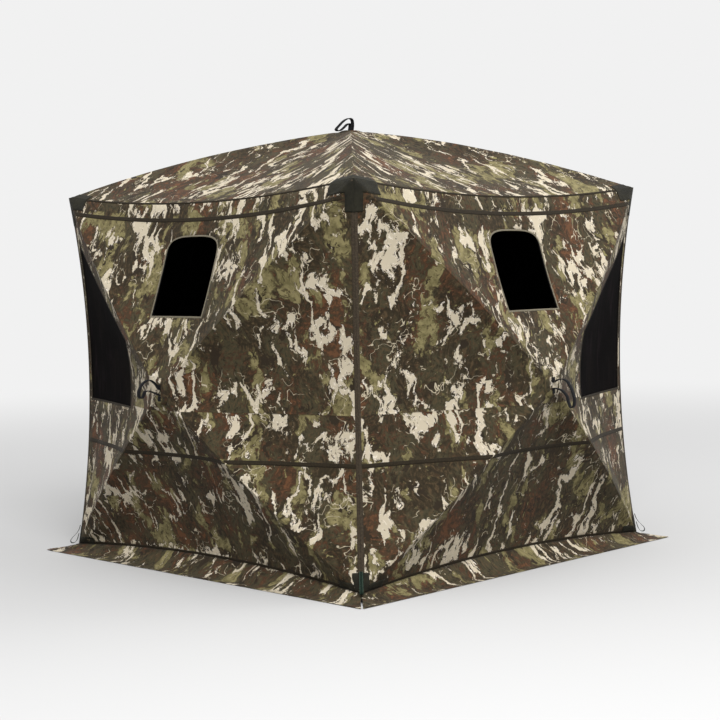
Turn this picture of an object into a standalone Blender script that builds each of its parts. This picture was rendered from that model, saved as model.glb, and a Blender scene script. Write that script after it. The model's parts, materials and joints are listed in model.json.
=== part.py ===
"""A pop-up ground blind: a stretched fabric cube with a pyramid roof.

Each of the four walls and the roof has a moulded hub at its middle. Four sprung rods
pivot in every hub and run to the corners of that panel, so each panel pops out to a
shallow pyramid or in to its mirror image. Metres, +Z up, standing on the XY plane.
The front wall faces -Y, and every wall is the front wall turned about Z.
"""

from math import atan2, ceil, cos, pi, radians, sin

import bmesh
import bpy
from mathutils import Matrix, Vector
from mathutils.bvhtree import BVHTree

# The fabric cube
HALF = 0.9525  # half the side of the square plan
EAVE_Z = 1.69  # the top corners
BASE_Z = 0.03  # the bottom corners, where the skirt is sewn on
HUB_Z = 0.815  # the walls' hubs
HUB_OUT = 0.238  # how far a wall's fabric stands out at its hub
APEX_Z = 1.978  # the roof's fabric at its hub
FABRIC = 0.002

# How the stretched edges and panels curve
CORNER_BOW = 0.05
EAVE_SAG = 0.055
EAVE_IN = 0.015
BASE_RISE = 0.04
BASE_IN = 0.02
ROD_BOW = 0.028
GORE_SAG = 0.016

# The panel grid: rings of squares from the hub to the edge, and stations along a side
RINGS = (0.06, 0.3, 0.6, 0.86, 1.0)
STATIONS = (-1.0, -0.86, -0.45, 0.0, 0.45, 0.86)
HUB_HOLE = 0.014
SEAM_GAP = 0.0022
PATCH_LIFT = 0.0008
PATCH_THICK = 0.0025

# The ground skirt
SKIRT_OUT = 0.1145
SKIRT_ROWS = ((0.0, None), (0.024, None), (0.082, FABRIC / 2), (SKIRT_OUT, FABRIC / 2))
SKIRT_SEAM = 0.0035
SKIRT_SPLIT = 0.006
SKIRT_STEPS = 8

# Hubs, rods and straps
HUB_RADIUS = 0.042
HUB_DEPTH = 0.027
PLATE_TOP = 0.0065
NECK_RADIUS = 0.011
SLOT_WIDTH = 0.0125
SLOT_ROOF = 0.0045
SLOT_START = 0.0125  # from the hub's axis
CLEARANCE = 0.0005
HUB_CORNER = 0.003
HUB_SEGMENTS = 20
PIN_REACH = 0.026  # from the hub's axis to a rod's pivot
PIN_DEPTH = 0.018  # from the fabric down to the pivot
PIN_RADIUS = 0.002
PIN_LENGTH = 0.019
ROD_RADIUS = 0.00475
ROD_END = 0.0085
ROD_TIP = 0.955  # how far along its ridge a rod reaches, the rest being clearance
TIP_DEPTH = 0.010
ROD_STEPS = 6
# A strap's loop, as distances out of the plate and up it: hanging, standing and leaning
HANGING = (
    (0.004, 0.012),
    (0.035, 0.028),
    (0.070, 0.022),
    (0.094, -0.010),
    (0.110, -0.050),
    (0.108, -0.082),
    (0.092, -0.092),
    (0.080, -0.072),
    (0.070, -0.042),
    (0.040, -0.018),
    (0.004, -0.012),
)
STANDING = (
    (0.004, 0.012),
    (0.024, 0.044),
    (0.055, 0.060),
    (0.088, 0.046),
    (0.110, 0.014),
    (0.106, -0.012),
    (0.090, -0.012),
    (0.076, 0.012),
    (0.045, 0.010),
    (0.004, -0.012),
)
LEANING = (
    (0.004, 0.010),
    (0.030, 0.016),
    (0.054, 0.010),
    (0.058, -0.012),
    (0.046, -0.042),
    (0.024, -0.072),
    (0.002, -0.096),
    (-0.003, -0.074),
    (0.012, -0.046),
    (0.032, -0.018),
    (0.028, -0.002),
    (0.004, -0.008),
)
STRAP_PATHS = {
    "front": HANGING,
    "right": STANDING,
    "back": HANGING,
    "left": STANDING,
    "roof": LEANING,
}
ROOF_STRAP_TURN = 270
STRAP_WIDTH = 0.02
STRAP_THICK = 0.004

# Openings, in a wall's own width and height
SILL_Z = 1.14
WINDOW_HALF = 0.17
WINDOW_SHOULDER = 1.40
WINDOW_TOP = 1.485
ARCH_STEPS = 10
ARCH_POWER = 0.6  # below 1, for a crown squarer than an ellipse
TRIM_WIDTH = 0.022
TRIM_DEPTH = 0.007
TRIM_STEP = 0.08
COVER_MARGIN = 0.018
COVER_DROP = 0.018
COVER_DEPTH = 0.013
COVER_THICK = 0.003
COVER_TURN = 163  # degrees from hanging to lying shut on the trim
MESH_CORNERS = ((0.865, 0.735), (0.355, 0.73), (0.355, 1.03), (0.885, 1.46))
DOOR_CORNERS = ((0.855, 0.24), (0.30, 0.66), (0.30, 0.99), (0.855, 1.44))
OPENING_GAP = 0.0025
DOOR_FRAME_WIDTH = 0.024
DOOR_FRAME_LAP = 0.004
ZIP_SLIDER = (0.024, 0.005, 0.012)
ZIP_SIDE = 0.0105  # from the door's edge to the line of the slider, clear of the door
ZIP_LIFT = 0.0075  # the slider's clearance over the door's slight bulge
DOOR_EDGE_U = 0.91  # the corner's mean line, about which the door's gore turns
DOOR_EDGE_IN = 0.042

WALLS = ("front", "right", "back", "left")
CORNERS = ("front_right", "back_right", "back_left", "front_left")
MESH_SIDE = {"front": 1, "right": -1, "back": 1, "left": -1}
DOOR_WALL = "right"
SHUT_WINDOWS = ("right", "back")
OUTWARD = Vector((0.0, -1.0, 0.0))
WALL_HUB = Vector((0.0, -(HALF + HUB_OUT), HUB_Z))
ROOF_HUB = Vector((0.0, 0.0, APEX_Z))
UP = Vector((0.0, 0.0, 1.0))

FINISHES = {
    "camo": ((0.22, 0.19, 0.12), 0.9, 0.0),
    "mesh": ((0.02, 0.018, 0.018), 0.8, 0.0),
    "webbing": ((0.02, 0.02, 0.022), 0.7, 0.0),
    "patch": ((0.09, 0.095, 0.08), 0.85, 0.0),
    "lining": ((0.015, 0.015, 0.015), 0.9, 0.0),
    "nylon": ((0.03, 0.03, 0.032), 0.5, 0.0),
    "fibreglass": ((0.05, 0.05, 0.055), 0.4, 0.0),
    "zip": ((0.3, 0.3, 0.31), 0.35, 1.0),
}


# Scene helpers


def clear_scene():
    for obj in list(bpy.data.objects):
        bpy.data.objects.remove(obj, do_unlink=True)


def new_collection(name):
    collection = bpy.data.collections.new(name)
    bpy.context.scene.collection.children.link(collection)
    return collection


def finish_material(name):
    material = bpy.data.materials.get(name)
    if material:
        return material
    colour, roughness, metallic = FINISHES[name]
    material = bpy.data.materials.new(name)
    material.use_nodes = True
    shader = material.node_tree.nodes["Principled BSDF"]
    shader.inputs["Base Color"].default_value = (*colour, 1.0)
    shader.inputs["Roughness"].default_value = roughness
    shader.inputs["Metallic"].default_value = metallic
    return material


def add_part(name, data, finish, parent=None, matrix=None):
    obj = bpy.data.objects.new(name, data)
    parts.objects.link(obj)
    obj.data.materials.append(finish_material(finish))
    if parent:
        obj.parent = parent
    obj.matrix_basis = matrix or Matrix()
    return obj


def add_cutter(name, data, matrix=None):
    obj = bpy.data.objects.new(name, data)
    cutters.objects.link(obj)
    obj.matrix_basis = matrix or Matrix()
    obj.hide_render = True
    obj.display_type = "WIRE"
    return obj


def add_empty(name, matrix):
    empty = bpy.data.objects.new(name, None)
    parts.objects.link(empty)
    empty.empty_display_size = 0.05
    empty.matrix_basis = matrix
    return empty


def cut(obj, cutter, operation="DIFFERENCE"):
    boolean = obj.modifiers.new(cutter.name, "BOOLEAN")
    boolean.operation = operation
    boolean.object = cutter
    return boolean


def thicken(obj, thickness, offset=0.0, even=False):
    solidify = obj.modifiers.new("thickness", "SOLIDIFY")
    solidify.thickness = thickness
    solidify.offset = offset
    solidify.use_even_offset = even
    return solidify


def mesh_of(name, bm):
    mesh = bpy.data.meshes.new(name)
    bm.to_mesh(mesh)
    bm.free()
    return mesh


def facing(bm, direction):
    """Points every face of an open surface the way that its area mostly faces."""
    bmesh.ops.recalc_face_normals(bm, faces=bm.faces)
    bm.normal_update()
    total = sum((face.normal * face.calc_area() for face in bm.faces), Vector())
    if total.dot(direction) < 0:
        bmesh.ops.reverse_faces(bm, faces=bm.faces)


def baked(curve, name):
    """A curve as a mesh whose caps are welded on."""
    obj = bpy.data.objects.new(name, curve)
    cutters.objects.link(obj)
    bpy.context.view_layer.update()
    evaluated = obj.evaluated_get(bpy.context.evaluated_depsgraph_get())
    mesh = bpy.data.meshes.new_from_object(evaluated)
    bpy.data.objects.remove(obj, do_unlink=True)
    bm = bmesh.new()
    bm.from_mesh(mesh)
    bmesh.ops.remove_doubles(bm, verts=bm.verts, dist=0.00001)
    bm.to_mesh(mesh)
    bm.free()
    return mesh


def flat_curve(name, outlines, half_thickness):
    """A flat outline, with any holes, extruded both ways from its own XY plane."""
    curve = bpy.data.curves.new(name, "CURVE")
    curve.dimensions = "2D"
    curve.fill_mode = "BOTH"
    curve.extrude = half_thickness
    for outline in outlines:
        spline = curve.splines.new("POLY")
        spline.points.add(len(outline) - 1)
        for point, (x, y) in zip(spline.points, outline):
            point.co = (x, y, 0.0, 1.0)
        spline.use_cyclic_u = True
    return curve


def tube_curve(name, points, radius):
    curve = bpy.data.curves.new(name, "CURVE")
    curve.dimensions = "3D"
    curve.bevel_depth = radius
    curve.bevel_resolution = 2
    curve.use_fill_caps = True
    spline = curve.splines.new("POLY")
    spline.points.add(len(points) - 1)
    for target, point in zip(spline.points, points):
        target.co = (*point, 1.0)
    return curve


def box_mesh(name, low, high):
    bm = bmesh.new()
    bmesh.ops.create_cube(bm, size=1.0)
    size = [b - a for a, b in zip(low, high)]
    middle = [(a + b) / 2 for a, b in zip(low, high)]
    bmesh.ops.scale(bm, vec=size, verts=bm.verts)
    bmesh.ops.translate(bm, vec=middle, verts=bm.verts)
    return mesh_of(name, bm)


def cylinder_mesh(name, radius, length, axis, middle, segments):
    bm = bmesh.new()
    turn = UP.rotation_difference(axis).to_matrix().to_4x4()
    bmesh.ops.create_cone(
        bm,
        cap_ends=True,
        segments=segments,
        radius1=radius,
        radius2=radius,
        depth=length,
        matrix=Matrix.Translation(middle) @ turn,
    )
    return mesh_of(name, bm)


# The shape of a stretched panel


def wall_turn(index):
    return Matrix.Rotation(index * pi / 2, 4, "Z")


def sign(value):
    return (value > 0) - (value < 0)


def corner_bow(z):
    along = (z - BASE_Z) / (EAVE_Z - BASE_Z)
    return CORNER_BOW * 4 * along * (1 - along)


def wall_edge(p, q, inset=0.0):
    """The front wall's outline: p across and q up, one of them being -1 or 1."""
    if abs(q) >= abs(p):
        free = 1 - p * p
        if q > 0:
            edge = Vector((p * HALF, -HALF + EAVE_IN * free, EAVE_Z - EAVE_SAG * free))
        else:
            edge = Vector((p * HALF, -HALF + BASE_IN * free, BASE_Z + BASE_RISE * free))
    else:
        rise = EAVE_Z - HUB_Z if q > 0 else HUB_Z - BASE_Z
        z = HUB_Z + q * rise
        bow = corner_bow(z)
        edge = Vector((p * (HALF - bow), -HALF + bow, z))
    if abs(p) >= 1:
        edge.x -= sign(p) * inset
    if abs(q) >= 1:
        edge.z -= sign(q) * inset
    return edge


def roof_edge(p, q, inset=0.0):
    """The roof's outline, with p along X and q along Y."""
    free = 1 - min(abs(p), abs(q)) ** 2
    inner = HALF - EAVE_IN * free
    along = (sign(p) * inner, q * HALF) if abs(p) >= abs(q) else (p * HALF, sign(q) * inner)
    edge = Vector((*along, EAVE_Z - EAVE_SAG * free))
    if abs(p) >= 1:
        edge.x -= sign(p) * inset
    if abs(q) >= 1:
        edge.y -= sign(q) * inset
    return edge


def reach(ring):
    """0 on the flat round the hub and 1 on the outline, from a ring's size."""
    return max(0.0, (ring - RINGS[0]) / (1 - RINGS[0]))


def panel_point(edge, hub, out, p, q, inset=0.0):
    """A point of a panel: straight from the hub to the outline, bowed along its four
    ridges, where the rods lie, and sagging between them."""
    ring = max(abs(p), abs(q))
    ridge = min(abs(p), abs(q)) / ring
    towards = edge(p / ring, q / ring, inset if ring == 1 else 0.0) - hub
    outward = towards.dot(out)
    level = reach(ring)
    crown = 4 * level * (1 - level) * (ROD_BOW * ridge**2 - GORE_SAG * (1 - ridge**2))
    return hub + ring * (towards - outward * out) + (level * outward + crown) * out


def side_stations(ring):
    """One ring of the grid: (p, q) round the square, four sides of six stations."""
    for turn in range(4):
        for station in STATIONS:
            p, q = station * ring, -ring
            for _ in range(turn):
                p, q = -q, p
            yield p, q


def panel_surface(edge, hub, out, across, inset=SEAM_GAP):
    """The open surface of a panel, with a round hole at its hub."""
    bm = bmesh.new()
    above = out.cross(across)
    rows = []
    hole = []
    for p, q in side_stations(1.0):
        angle = atan2(q, p)
        hole.append(bm.verts.new(hub + HUB_HOLE * (cos(angle) * across + sin(angle) * above)))
    rows.append(hole)
    for ring in RINGS:
        points = [panel_point(edge, hub, out, p, q, inset) for p, q in side_stations(ring)]
        rows.append([bm.verts.new(point) for point in points])
    for inner, outer in zip(rows, rows[1:]):
        for i in range(len(inner)):
            j = (i + 1) % len(inner)
            # Each side of a gore is split the other way, so that its halves match.
            if i % len(STATIONS) < len(STATIONS) / 2:
                bm.faces.new((inner[i], inner[j], outer[j]))
                bm.faces.new((inner[i], outer[j], outer[i]))
            else:
                bm.faces.new((inner[i], inner[j], outer[i]))
                bm.faces.new((inner[j], outer[j], outer[i]))
    facing(bm, out)
    return bm


def wall_surface():
    return panel_surface(wall_edge, WALL_HUB, OUTWARD, Vector((1, 0, 0)))


def roof_surface():
    return panel_surface(roof_edge, ROOF_HUB, UP, Vector((1, 0, 0)))


# Outlines in a wall's width and height


def window_outline(margin=0.0):
    """An arch: a level sill, straight sides and a low crown with round shoulders."""
    half = WINDOW_HALF + margin
    crown = WINDOW_TOP - WINDOW_SHOULDER + margin
    points = [(-half, SILL_Z - margin), (half, SILL_Z - margin)]
    for i in range(ARCH_STEPS + 1):
        angle = pi * i / ARCH_STEPS
        x = half * abs(cos(angle)) ** ARCH_POWER * sign(round(cos(angle), 9))
        points.append((x, WINDOW_SHOULDER + crown * sin(angle) ** ARCH_POWER))
    return points


def grown(corners, margin):
    """A convex outline with every side moved out by the margin."""
    middle = sum((Vector(c) for c in corners), Vector((0, 0))) / len(corners)
    sides = []
    for start, end in zip(corners, corners[1:] + corners[:1]):
        along = (Vector(end) - Vector(start)).normalized()
        normal = Vector((along.y, -along.x))
        if normal.dot(Vector(start) - middle) < 0:
            normal.negate()
        sides.append((Vector(start) + normal * margin, along))
    points = []
    for (p1, d1), (p2, d2) in zip(sides[-1:] + sides[:-1], sides):
        step = (p2 - p1).cross(d2) / d1.cross(d2)
        points.append(tuple(p1 + d1 * step))
    return points


def split_sides(corners, counts):
    """An outline with each side cut into its own count of equal steps."""
    points = []
    for start, end, count in zip(corners, corners[1:] + corners[:1], counts):
        points += [tuple(Vector(start).lerp(Vector(end), i / count)) for i in range(count)]
    return points


def wall_prism(name, outline, wall):
    """A cutter through a wall, from an outline in its width and height."""
    mesh = baked(flat_curve(name, [outline], HUB_OUT), name)
    upright = Matrix.Translation((0, -(HALF + HUB_OUT / 2), 0)) @ Matrix.Rotation(pi / 2, 4, "X")
    return add_cutter(name, mesh, wall_turn(WALLS.index(wall)) @ upright)


class Drape:
    """Lays points of a wall's width and height on its fabric."""

    def __init__(self):
        bm = wall_surface()
        self.tree = BVHTree.FromBMesh(bm)
        bm.free()

    def point(self, u, z, depth=0.0):
        hit = self.tree.ray_cast(Vector((u, -3.0, z)), -OUTWARD)[0]
        return hit - OUTWARD * depth


def draped_ring(drape, outer, inner):
    """A flat band between two like outlines, laid on the inside of the fabric."""
    bm = bmesh.new()
    rows = []
    for start, end in zip(outer, outer[1:] + outer[:1]):
        rows.append(ceil((Vector(end) - Vector(start)).length / TRIM_STEP - 0.001))
    outer, inner = (split_sides(line, rows) for line in (outer, inner))
    rows = [[bm.verts.new(drape.point(u, z, TRIM_DEPTH)) for u, z in line] for line in (inner, outer)]
    count = len(outer)
    for i in range(count):
        j = (i + 1) % count
        bm.faces.new((rows[0][i], rows[0][j], rows[1][j], rows[1][i]))
    facing(bm, OUTWARD)
    return bm


def draped_quad(drape, corners, steps, depth=0.0):
    """A four-sided piece of the wall's own surface, on a grid between its corners."""
    a, b, c, d = (Vector(corner) for corner in corners)
    bm = bmesh.new()
    grid = []
    for i in range(steps + 1):
        low = a.lerp(b, i / steps)
        high = d.lerp(c, i / steps)
        line = [low.lerp(high, j / steps) for j in range(steps + 1)]
        grid.append([bm.verts.new(drape.point(u, z, depth)) for u, z in line])
    for i in range(steps):
        for j in range(steps):
            bm.faces.new((grid[i][j], grid[i + 1][j], grid[i + 1][j + 1], grid[i][j + 1]))
    facing(bm, OUTWARD)
    return bm


def mirrored(corners, side):
    return [(side * u, z) for u, z in corners]


# Fabric


def make_walls(drape):
    for index, wall in enumerate(WALLS):
        mesh = mesh_of("wall", wall_surface())
        panel = add_part(f"wall_{wall}", mesh, "camo", matrix=wall_turn(index))
        thicken(panel, FABRIC)
        cut(panel, wall_prism(f"cut_window_{wall}", window_outline(), wall))
        netting = mirrored(MESH_CORNERS, MESH_SIDE[wall])
        cut(panel, wall_prism(f"cut_mesh_{wall}", grown(netting, OPENING_GAP), wall))
        if wall == DOOR_WALL:
            corners = list(DOOR_CORNERS)
            cut(panel, wall_prism("cut_door", grown(corners, OPENING_GAP), wall))
        net = draped_quad(drape, netting, 3)
        name = f"mesh_window_{wall}"
        thicken(add_part(name, mesh_of(name, net), "mesh", matrix=wall_turn(index)), FABRIC)


def make_roof():
    roof = add_part("roof_panel", mesh_of("roof", roof_surface()), "camo")
    thicken(roof, FABRIC)


def corner_cells(p, q):
    """The two grid cells of a panel that meet at its corner (p, q), each 1 or -1,
    split as the panel's own surface splits them."""
    near = RINGS[-2]
    inner = near * near
    ridge = (near * p, near * q)
    yield [(inner * p, near * q), ridge, (near * p, q)]
    yield [ridge, (p, q), (near * p, q)]
    yield [(near * p, inner * q), ridge, (p, near * q)]
    yield [ridge, (p, q), (p, near * q)]


def patch_surface(panels, out):
    """Corner cells of neighbouring panels, joined along the edges that they share."""
    bm = bmesh.new()
    for edge, hub, normal, turn, p, q in panels:
        for cell in corner_cells(p, q):
            points = [turn @ panel_point(edge, hub, normal, *at) for at in cell]
            bm.faces.new([bm.verts.new(point) for point in points])
    bmesh.ops.remove_doubles(bm, verts=bm.verts, dist=0.0001)
    facing(bm, out)
    bm.normal_update()
    lift = FABRIC / 2 + PATCH_LIFT
    shifts = [vert.normal * vert.calc_shell_factor() * lift for vert in bm.verts]
    for vert, shift in zip(bm.verts, shifts):
        vert.co += shift
    return bm


def make_corner_patches():
    for index, corner in enumerate(CORNERS):
        turn, next_turn = wall_turn(index), wall_turn(index + 1)
        diagonal = turn @ Vector((1, -1, 0))
        x, y = sign(round(diagonal.x, 6)), sign(round(diagonal.y, 6))
        walls = [(wall_edge, WALL_HUB, OUTWARD, turn, 1), (wall_edge, WALL_HUB, OUTWARD, next_turn, -1)]
        top = [(*wall, 1) for wall in walls] + [(roof_edge, ROOF_HUB, UP, Matrix(), x, y)]
        name = f"top_corner_{corner}"
        patch = add_part(name, mesh_of(name, patch_surface(top, diagonal + UP)), "patch")
        thicken(patch, PATCH_THICK, 1.0, even=True)
        name = f"base_corner_{corner}"
        low = [(*wall, -1) for wall in walls]
        patch = add_part(name, mesh_of(name, patch_surface(low, diagonal)), "patch")
        thicken(patch, PATCH_THICK, 1.0, even=True)


def make_skirt():
    """One ring of four flaps, split at the corners outside their first row."""
    bm = bmesh.new()
    for index in range(4):
        turn = wall_turn(index)
        rows = []
        for row, (out, level) in enumerate(SKIRT_ROWS):
            line = []
            for i in range(SKIRT_STEPS + 1):
                p = 2 * i / SKIRT_STEPS - 1
                free = 1 - p * p
                seam = BASE_Z - SKIRT_SEAM + BASE_RISE * free
                slope = 1 - out / SKIRT_ROWS[2][0]
                inward = BASE_IN * free * max(0.0, slope)
                split = SKIRT_SPLIT if row > 1 and abs(p) == 1 else 0.0
                x = p * (HALF + out) - sign(p) * split
                ground = FABRIC / 2
                z = level if level is not None else ground + (seam - ground) * slope
                line.append(bm.verts.new(turn @ Vector((x, -(HALF + out) + inward, z))))
            rows.append(line)
        for near, far in zip(rows, rows[1:]):
            for i in range(SKIRT_STEPS):
                bm.faces.new((near[i], near[i + 1], far[i + 1], far[i]))
    bmesh.ops.remove_doubles(bm, verts=bm.verts, dist=0.0001)
    facing(bm, UP)
    skirt = add_part("ground_skirt", mesh_of("ground_skirt", bm), "camo")
    thicken(skirt, FABRIC)


# Hubs, rods and straps. A hub's own frame has +Z out of the fabric.


def hub_frames():
    """Each hub's name, its frame, and the four rods' names and tips on the ridges."""
    lay = Matrix.Rotation(pi / 2, 4, "X")
    for index, wall in enumerate(WALLS):
        turn = wall_turn(index)
        ends = []
        for level, q in (("upper", 1), ("lower", -1)):
            for side, p in (("left", -1), ("right", 1)):
                tip = panel_point(wall_edge, WALL_HUB, OUTWARD, p * ROD_TIP, q * ROD_TIP)
                ends.append((f"rod_{wall}_{level}_{side}", turn @ (tip - OUTWARD * TIP_DEPTH)))
        yield wall, turn @ Matrix.Translation(WALL_HUB) @ lay, ends
    ends = []
    for y_name, q in (("front", -1), ("back", 1)):
        for x_name, p in (("left", -1), ("right", 1)):
            tip = panel_point(roof_edge, ROOF_HUB, UP, p * ROD_TIP, q * ROD_TIP)
            ends.append((f"rod_roof_{y_name}_{x_name}", tip - UP * TIP_DEPTH))
    yield "roof", Matrix.Translation(ROOF_HUB), ends


def profile_mesh(name, profile):
    """An open profile of (radius, height) points, for a Screw modifier to turn."""
    bm = bmesh.new()
    verts = [bm.verts.new((radius, 0, height)) for radius, height in profile]
    for start, end in zip(verts, verts[1:]):
        bm.edges.new((start, end))
    return mesh_of(name, bm)


def turn_profile(obj, steps):
    screw = obj.modifiers.new("turn", "SCREW")
    screw.steps = screw.render_steps = steps
    screw.use_merge_vertices = True
    screw.merge_threshold = 0.0001


def make_hub(name, frame, ends):
    """A plate outside the fabric, a neck through it and a slotted body inside."""
    half = FABRIC / 2 + CLEARANCE
    profile = (
        (0.0, PLATE_TOP),
        (HUB_RADIUS - HUB_CORNER, PLATE_TOP),
        (HUB_RADIUS, PLATE_TOP - 0.002),
        (HUB_RADIUS, half),
        (NECK_RADIUS, half),
        (NECK_RADIUS, -half),
        (HUB_RADIUS, -half),
        (HUB_RADIUS, -HUB_DEPTH + HUB_CORNER),
        (HUB_RADIUS - HUB_CORNER, -HUB_DEPTH),
        (0.0, -HUB_DEPTH),
    )
    mesh = profile_mesh(f"hub_{name}", profile)
    hub = add_part(f"hub_{name}", mesh, "nylon", matrix=frame)
    turn_profile(hub, HUB_SEGMENTS)
    below = -HUB_DEPTH - 0.005
    far = HUB_RADIUS * 1.5
    slot = box_mesh("slot", (SLOT_START, -SLOT_WIDTH / 2, below), (far, SLOT_WIDTH / 2, -SLOT_ROOF))
    bearing_top = -PIN_DEPTH + PIN_RADIUS + CLEARANCE
    width = PIN_RADIUS + CLEARANCE
    length = PIN_LENGTH / 2 + CLEARANCE
    low = (PIN_REACH - width, -length, below)
    bearing = box_mesh("bearing", low, (PIN_REACH + width, length, bearing_top))
    for rod, tip in ends:
        local = frame.inverted() @ tip
        aim = frame @ Matrix.Rotation(atan2(local.y, local.x), 4, "Z")
        cut(hub, add_cutter(f"cut_slot_{rod}", slot, aim))
        cut(hub, add_cutter(f"cut_bearing_{rod}", bearing, aim))


def make_rod(name, frame, tip):
    """A sprung rod, bowed outwards, with its pivot pin across its hub end."""
    local = frame.inverted() @ tip
    heading = Vector((local.x, local.y, 0)).normalized()
    pivot = heading * PIN_REACH - UP * PIN_DEPTH
    chord = local - pivot
    across = UP.cross(heading)
    lift = chord.normalized().cross(across)
    if lift.z < 0:
        lift.negate()
    points = [pivot - (chord.normalized() + lift * 4 * ROD_BOW / chord.length).normalized() * ROD_END]
    for i in range(ROD_STEPS + 1):
        along = i / ROD_STEPS
        points.append(pivot + chord * along + lift * 4 * ROD_BOW * along * (1 - along))
    mesh = baked(tube_curve(name, [point - pivot for point in points], ROD_RADIUS), name)
    joint = add_empty(f"pivot_{name}", frame @ Matrix.Translation(pivot))
    rod = add_part(name, mesh, "fibreglass", parent=joint)
    pin = cylinder_mesh("pin", PIN_RADIUS, PIN_LENGTH, across, Vector(), 8)
    cut(rod, add_cutter(f"pin_{name}", pin, frame @ Matrix.Translation(pivot)), "UNION")


def smooth_path(points):
    """The points, with two more on a smooth curve between each pair of them."""
    path = []
    for i in range(len(points) - 1):
        before, start, end, after = (
            Vector(points[min(max(j, 0), len(points) - 1)]) for j in range(i - 1, i + 3)
        )
        for t in (0.0, 1 / 3, 2 / 3):
            lead = (end - before) / 2
            tail = (after - start) / 2
            bend = start * (2 * t**3 - 3 * t**2 + 1) + end * (3 * t**2 - 2 * t**3)
            path.append(bend + lead * (t**3 - 2 * t**2 + t) + tail * (t**3 - t**2))
    path.append(Vector(points[-1]))
    return path


def make_strap(name, frame):
    """A loop of webbing whose two ends are tacked together on the hub's plate."""
    base = PLATE_TOP + 0.0004
    path = smooth_path([(out + base, up) for out, up in STRAP_PATHS[name]])
    outer, inner = [], []
    for i, point in enumerate(path):
        along = (path[min(i + 1, len(path) - 1)] - path[max(i - 1, 0)]).normalized()
        left = Vector((-along.y, along.x)) * STRAP_THICK / 2
        outer.append(tuple(point + left))
        inner.append(tuple(point - left))
    ends = [(base, outer[0][1] + STRAP_THICK), (base, outer[-1][1] - STRAP_THICK)]
    curve = flat_curve(name, [ends[:1] + outer + ends[1:], inner], STRAP_WIDTH / 2)
    # The loop's side view has x out of the plate and y up the wall.
    stand = Matrix(((0, 0, -1, 0), (0, 1, 0, 0), (1, 0, 0, 0), (0, 0, 0, 1)))
    lean = Matrix.Rotation(radians(ROOF_STRAP_TURN) if name == "roof" else 0.0, 4, "Z")
    strap = baked(curve, "strap")
    add_part(f"pull_strap_{name}", strap, "webbing", matrix=frame @ lean @ stand)


# Window trims and covers, and the door


def make_window(drape, wall, index):
    turn = wall_turn(index)
    ring = draped_ring(drape, window_outline(TRIM_WIDTH), window_outline())
    eave = Vector((0, -(HALF - EAVE_IN), EAVE_Z - EAVE_SAG))
    hinge = add_empty(f"axis_trim_{wall}", turn @ Matrix.Translation(eave))
    bmesh.ops.translate(ring, vec=-eave, verts=ring.verts)
    name = f"window_trim_{wall}"
    thicken(add_part(name, mesh_of(name, ring), "webbing", parent=hinge), FABRIC)
    sill = cover_axis(drape)
    fold = Matrix.Rotation(radians(COVER_TURN) if wall in SHUT_WINDOWS else 0.0, 4, "X")
    hinge = add_empty(f"axis_cover_{wall}", turn @ Matrix.Translation(sill) @ fold)
    outline = [(u, SILL_Z - z) for u, z in window_outline(COVER_MARGIN)]
    curve = flat_curve(f"window_cover_{wall}", [outline], COVER_THICK / 2)
    upright = Matrix.Translation((0, 0, -COVER_DROP - COVER_MARGIN)) @ Matrix.Rotation(pi / 2, 4, "X")
    name = f"window_cover_{wall}"
    add_part(name, baked(curve, name), "lining", parent=hinge, matrix=upright)


def cover_axis(drape):
    """The line along the sill about which a cover folds, inside the trim."""
    return drape.point(0, SILL_Z - COVER_DROP, TRIM_DEPTH + COVER_DEPTH)


def make_door(drape):
    turn = wall_turn(WALLS.index(DOOR_WALL))
    corners = list(DOOR_CORNERS)
    edge = Vector((DOOR_EDGE_U, -(HALF - DOOR_EDGE_IN), 0))
    hinge = add_empty("axis_door_frame", turn @ Matrix.Translation(edge))
    ring = draped_ring(drape, grown(corners, DOOR_FRAME_WIDTH), grown(corners, -DOOR_FRAME_LAP))
    bmesh.ops.translate(ring, vec=-edge, verts=ring.verts)
    thicken(add_part("door_frame", mesh_of("door_frame", ring), "webbing", parent=hinge), FABRIC)
    line = door_axis(drape)
    hinge = add_empty("axis_door", turn @ Matrix.Translation(line))
    panel = draped_quad(drape, corners, 4)
    bmesh.ops.translate(panel, vec=-line, verts=panel.verts)
    thicken(add_part("door_panel", mesh_of("door_panel", panel), "camo", parent=hinge), FABRIC)
    start, along, out = zip_line(drape)
    frame = Matrix((along, out, along.cross(out))).transposed().to_4x4()
    length, depth, width = ZIP_SLIDER
    low, high = (-length / 2, 0.0, -width / 2), (length / 2, depth, width / 2)
    slider = box_mesh("door_zip_slider", low, high)
    place = turn @ Matrix.Translation(start + out * ZIP_LIFT) @ frame
    obj = add_part("door_zip_slider", slider, "zip", matrix=place)
    bevel = obj.modifiers.new("edges", "BEVEL")
    bevel.width = depth * 0.3
    bevel.segments = 1


def door_axis(drape):
    low, high = (drape.point(*DOOR_CORNERS[i], -0.001) for i in (0, 3))
    return Vector(((low.x + high.x) / 2, min(low.y, high.y), (low.z + high.z) / 2))


def zip_line(drape):
    """Where the slider rests by the door's upper edge, its way and the way out."""
    corners = grown(list(DOOR_CORNERS), ZIP_SIDE)
    top, end = Vector(corners[3]), Vector(corners[2])
    start = drape.point(*top.lerp(end, 0.05))
    finish = drape.point(*top.lerp(end, 0.95))
    along = (finish - start).normalized()
    out = (OUTWARD - along * OUTWARD.dot(along)).normalized()
    return start, along, out


def build():
    drape = Drape()
    make_walls(drape)
    make_roof()
    make_corner_patches()
    make_skirt()
    for name, frame, ends in hub_frames():
        make_hub(name, frame, ends)
        for rod, tip in ends:
            make_rod(rod, frame, tip)
        make_strap(name, frame)
    for index, wall in enumerate(WALLS):
        make_window(drape, wall, index)
    make_door(drape)


clear_scene()
parts = new_collection("pop_up_ground_blind")
cutters = new_collection("cutters")
build()
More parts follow.
